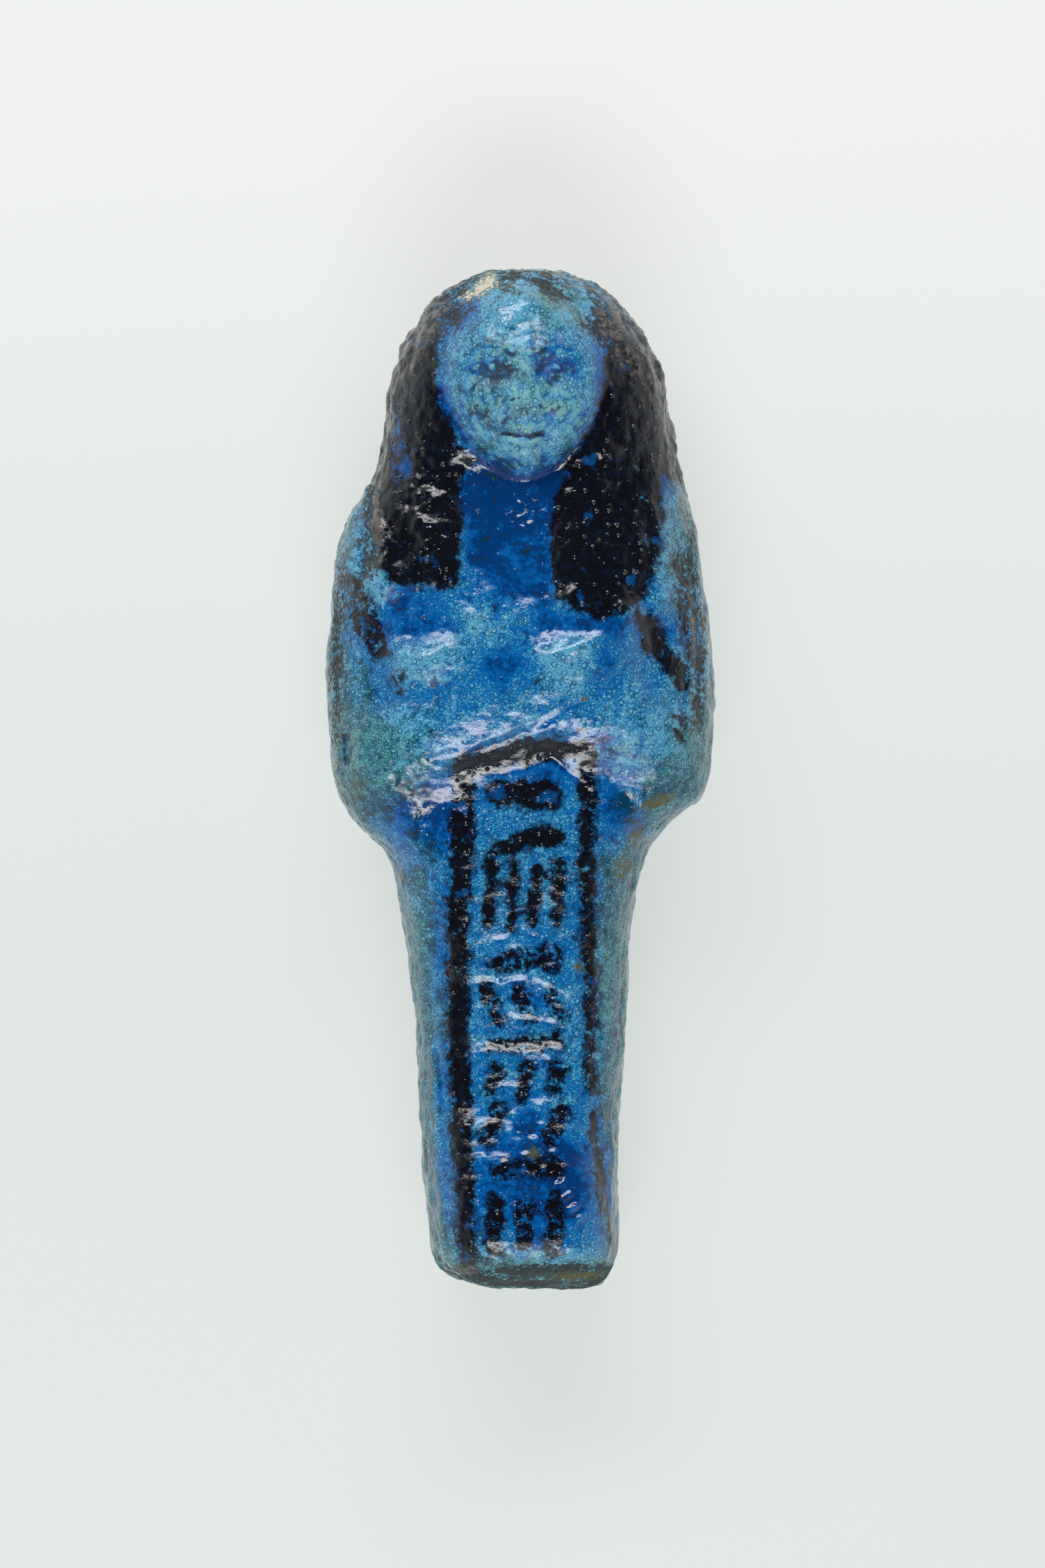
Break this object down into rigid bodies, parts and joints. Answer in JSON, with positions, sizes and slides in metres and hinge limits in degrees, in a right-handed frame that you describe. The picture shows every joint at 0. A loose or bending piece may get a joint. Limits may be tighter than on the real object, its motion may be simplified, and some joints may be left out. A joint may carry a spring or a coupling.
{
  "type": "ushabti figurine",
  "caption": "Mummy-shaped funerary figurine in glazed faience, lying on its back, with a wig, crossed arms and a painted column of strokes down the legs.",
  "frame": {"origin": "under the middle of the figure's back, on the flat that it lies on, at the centre of its bounding box", "axes": "+Y runs from the soles to the crown of the head, +Z points out of the figure's front, and +X points to the figure's own left"},
  "size_m": [0.042, 0.11, 0.027],
  "materials": {
    "glazed_faience": "glossy, pitted copper-blue glaze with black painted wig and strokes"
  },
  "bodies": {
    "root": {"ushabti": "glazed_faience"}
  },
  "joints": []
}
